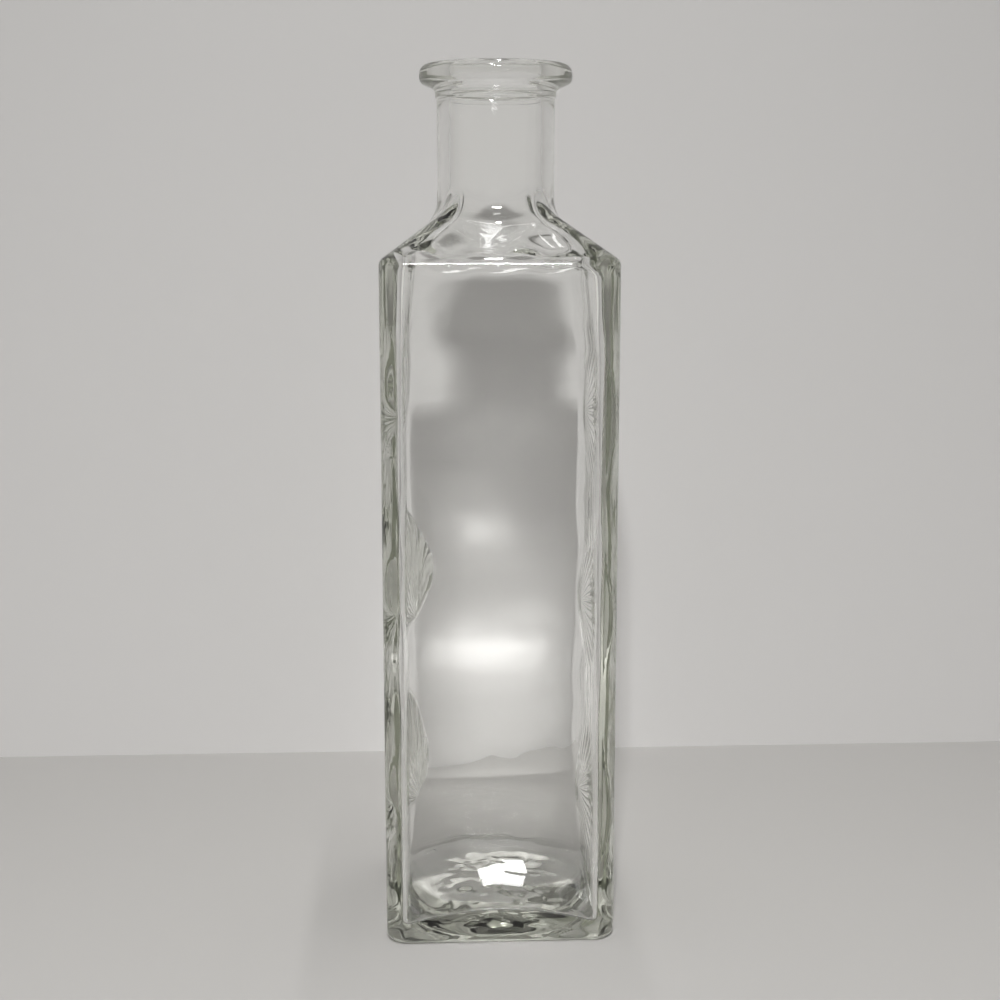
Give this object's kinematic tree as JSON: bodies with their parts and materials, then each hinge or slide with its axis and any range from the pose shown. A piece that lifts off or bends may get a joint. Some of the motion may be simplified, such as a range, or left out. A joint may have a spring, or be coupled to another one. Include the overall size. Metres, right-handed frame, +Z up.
{
  "type": "liquor decanter",
  "caption": "Square clear glass decanter: tall upright body, hipped shoulders, round neck with a flat ring lip, and sunk starbursts on its two side faces. Empty, without a stopper.",
  "frame": {"origin": "centre of the base, on the plane the foot stands on", "axes": "+Z up through the mouth; the plain faces look along -Y (front) and +Y (back); the starburst faces look along -X and +X"},
  "size_m": [0.071, 0.071, 0.2688],
  "materials": {
    "clear_glass": "polished pressed glass, colourless with a faint green-grey tint where it is thick"
  },
  "bodies": {
    "root": {"decanter": "clear_glass"}
  },
  "joints": []
}
